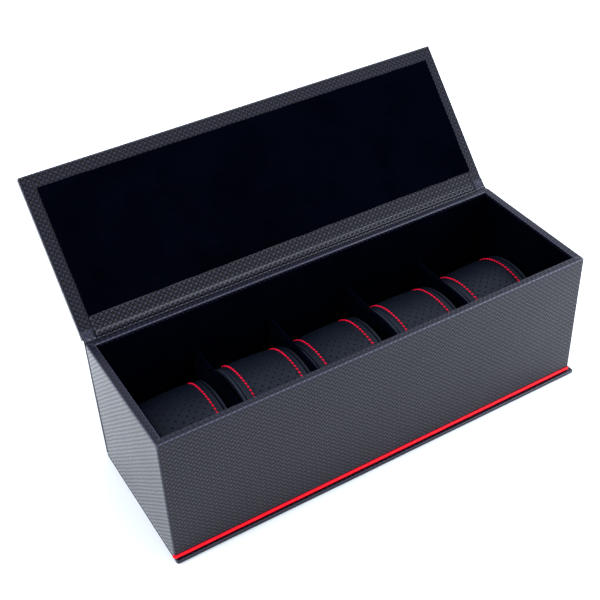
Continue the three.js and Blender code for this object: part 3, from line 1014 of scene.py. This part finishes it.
def cap_profile():
    """Section of one covered end, from the groove beside the band over its rim to the flat face: x, inset,
    and the wear and painted highlight, brightest over the rim.
    """
    return [(24.75, 3.2, 0), (24.8, 2.4, 0), (25.0, 1.75, 0.3), (25.4, 1.3, 0.9), (25.9, 1.12, 1.0),
            (26.4, 1.2, 1.0), (26.9, 1.6, 0.8), (27.2, 2.2, 0.4), (27.3, 3.0, 0.1), (27.2, 4.2, 0),
            (26.95, 6.0, 0), (26.8, 9.0, 0), (26.75, 13.0, 0), (26.75, 18.0, 0), (26.75, 24.0, 0),
            (26.8, 29.0, 0)]


def stitch_ring(x, outline, rng):
    """One ring of stitches at x: short bent threads that dip into the leather at both ends."""
    s = lengths(outline)
    count = round(s[-1] / STITCH_PITCH)
    pitch = s[-1] / count
    stations, sides = 8, 8
    angles = [TURN * j / sides for j in range(sides)]
    points, faces, uv = [], [], []

    def on_outline(at):
        return np.array([np.interp(at, s, outline[:, k]) for k in (0, 1)])

    for k in range(count):
        start = k * pitch + STITCH_SPACE + rng.uniform(-0.06, 0.06)
        end = (k + 1) * pitch - STITCH_SPACE + rng.uniform(-0.06, 0.06)
        lean = 0.16 + rng.uniform(-0.05, 0.05)
        rings, along = [], [start + (end - start) * i / (stations - 1) for i in range(stations)]
        for i, at in enumerate(along):
            t, at = i / (stations - 1), at % s[-1]
            centre = on_outline(at)
            forward = on_outline((at + 0.2) % s[-1]) - centre
            forward /= np.linalg.norm(forward)
            away = np.array([forward[1], -forward[0]])
            rise = 0.34 * math.sin(math.pi * t) ** 0.6 - 0.22
            thick = THREAD_RADIUS * (0.55 + 0.45 * math.sin(math.pi * t) ** 0.45)
            middle = centre + away * rise
            rings.append([(x + lean * (t - 0.5) * 2 + math.sin(a) * thick,
                           *(middle + away * math.cos(a) * thick)) for a in angles])
        thread, joined, wrapped = swept(rings, u=[0.36 * j for j in range(sides + 1)], v=along)
        joined += [face[::-1] for face in end_faces(sides, len(thread))]
        faces += [tuple(len(points) + i for i in face) for face in joined]
        uv += swapped(wrapped) + [[(start, 0.0)] * sides] * 2
        points += thread.tolist()
    return points, faces, uv


def cushion_cap(side, half_depth, half_height, seed):
    """One covered end, on the left (side -1) or the right (side 1): its points, faces, UVs and wear and
    painted highlight, full on the left end and a fifth as strong on the right.
    """
    def pleats(x, angles):
        strength = 0.10 if abs(x) > 26.9 else 0.03
        spots = at_x(x, oval(angles, half_depth, half_height))
        return strength * np.sin(angles * 46 + seed + side) + 0.12 * waves(spots, 22, seed + 3 + side)

    def face_on(corners):
        return [(points[i][1], points[i][2]) for i in corners]

    profile = [(side * x, inset, worn_and_lit) for x, inset, worn_and_lit in cap_profile()]
    rings, wear_and_highlight = oval_rings(profile, half_depth, half_height, pleats)
    section = [(x, inset) for x, inset, _ in profile]
    points, faces, uv = swept(rings, u=lengths_round(half_depth, half_height), v=lengths(section))
    rim_rows = 7
    flat_from = rim_rows * AROUND
    uv = uv[:flat_from] + [face_on(f) for f in faces[flat_from:]]
    middle = len(points)
    last = middle - AROUND
    points = np.vstack([points, [[profile[-1][0], 0, 0], [profile[0][0], 0, 0]]])
    for j in range(AROUND):
        j2 = (j + 1) % AROUND
        for face in ((last + j, last + j2, middle), (j2, j, middle + 1)):
            faces.append(face)
            uv.append(face_on(face))
    return points, faces, uv, np.append(wear_and_highlight, [0.0, 0.0]) * (1.0 if side < 0 else 0.2)


def cushion(number, core, swell):
    """One watch cushion: swollen core, perforated band with two sewn rings, and covered ends."""
    body = f"cushion_{number}"
    rng = np.random.default_rng(100 + number)
    lo, hi = box_mm(f"{body}_wrap")
    centre = np.array([hi[0] - BAND_HALF, *((lo + hi) / 2)[1:]])
    extra = (hi - lo)[0] - 2 * BAND_HALF
    half_depth, half_height = (hi - lo)[1] / 2, (hi - lo)[2] / 2
    seed = 200 + 10 * number
    lean, drop, sunk = SLUMP[number - 1]

    def relief(x, angles):
        spots = at_x(x, oval(angles, half_depth, half_height))
        give = 0.6 * swell(x, angles) + 0.14 * waves(spots, 30, seed)
        if abs(abs(x) - STITCH_X) < 2.0:
            give = give + 0.07 * np.sin(angles * 74 + seed)
        return give

    def slumped(spots):
        """The cushion as it sits: longer on its left if the frame says so, its top leaning."""
        spots = np.array(spots, float)
        spots[:, 0] -= extra * np.clip(-spots[:, 0] / STITCH_X, 0, 1.0)
        top = np.clip(spots[:, 2] / half_height, 0, 1) ** 0.7
        left = np.clip(-spots[:, 0] / BAND_HALF, 0, 1.2)
        spots[:, 2] += (lean * spots[:, 0] - drop * left ** 2 - sunk) * top
        return spots

    rings, wear_and_highlight = oval_rings(band_profile(), half_depth, half_height, relief)
    around, across = lengths_round(half_depth, half_height), np.zeros(len(rings) + 1)
    points, faces, uv = swept(rings, closed_path=True, u=around, v=across)
    uv = [[(points[i][0], u) for (u, _), i in zip(corners, face)] for corners, face in zip(uv, faces)]
    points[:, 2] = np.maximum(points[:, 2], 0.05 - half_height)
    # The painted highlight on the band's turned edges is full on the left and a quarter as strong on the
    # right.
    wear_and_highlight = wear_and_highlight * np.where(points[:, 0] > 0, 0.25, 1.0)
    band = new_piece(f"{body}_band", slumped(points) + centre, faces, uv, BAND_LEATHER, wear_and_highlight)

    filling = core.copy()
    filling.data = core.data.copy()
    filling.name = filling.data.name = f"{body}_foam"
    swollen_half = 26.0
    shrink = np.array([(BAND_HALF - 0.6) / swollen_half, 0.93, 0.93])
    inner = slumped(np.array([v.co for v in filling.data.vertices]) / MM * shrink) + centre
    filling.data.vertices.foreach_set("co", (inner * MM).astype(np.float32).ravel())
    filling.data.materials.clear()
    filling.data.materials.append(FOAM)
    bpy.context.scene.collection.objects.link(filling)
    settle(filling, body, "cushion_foam", f"{body}_core")
    settle(band, body, "cushion_leather", f"{body}_wrap")

    angles, sewn_in = np.linspace(0, TURN, 721), 0.45
    outline = oval(angles, half_depth - sewn_in, half_height - sewn_in)
    for side, word in ((-1, "left"), (1, "right")):
        points, faces, uv, wear_and_highlight = cushion_cap(side, half_depth, half_height, seed)
        cap = new_piece(f"{body}_{word}_end", slumped(points) + centre, faces, uv, CAP_LEATHER, wear_and_highlight)
        settle(cap, body, "cushion_leather", f"{body}_{word}_cap")

        groove = outline + outwards(outline) * relief(side * STITCH_X, angles)[:, None]
        stitches, faces, uv = stitch_ring(side * STITCH_X, groove, rng)
        sewn = new_piece(f"{body}_{word}_stitching", slumped(stitches) + centre, faces, uv, THREAD)
        settle(sewn, body, "red_piping")


# ---------------------------------------------------------------- build

add_camera()
add_studio()

tray_walls()
base_board()
spine_board()
front_piping()
frame["nodes"]["floor_board"].data.materials.clear()
frame["nodes"]["floor_board"].data.materials.append(BOARD)
lining("floor", 0.35, 0.05, 31)
for n, wall_side in enumerate(("front", "back", "left", "right")):
    lining(wall_side, 0.6, 0.04, 32 + n)
for n in range(1, 5):
    divider(n)
lid_board()
lid_panel()
hinge_strip()
hinge_lining()
hinge_cover()

CORE_DEPTH, CORE_HEIGHT, CORE_LENGTH = 37.5, 31.4, 23.4
core_form = simulated_core(CORE_DEPTH, CORE_HEIGHT, CORE_LENGTH)
core_swelling = core_swell(core_form, CORE_DEPTH, CORE_HEIGHT)
for n in range(1, 6):
    cushion(n, core_form, core_swelling)
bpy.data.objects.remove(core_form)

floor_points = [(9000 * x, 9000 * y, -0.6) for x, y in ((-1, -1), (1, -1), (1, 1), (-1, 1))]
floor = new_piece("paper_floor", floor_points, [(0, 1, 2, 3)], None, paper())
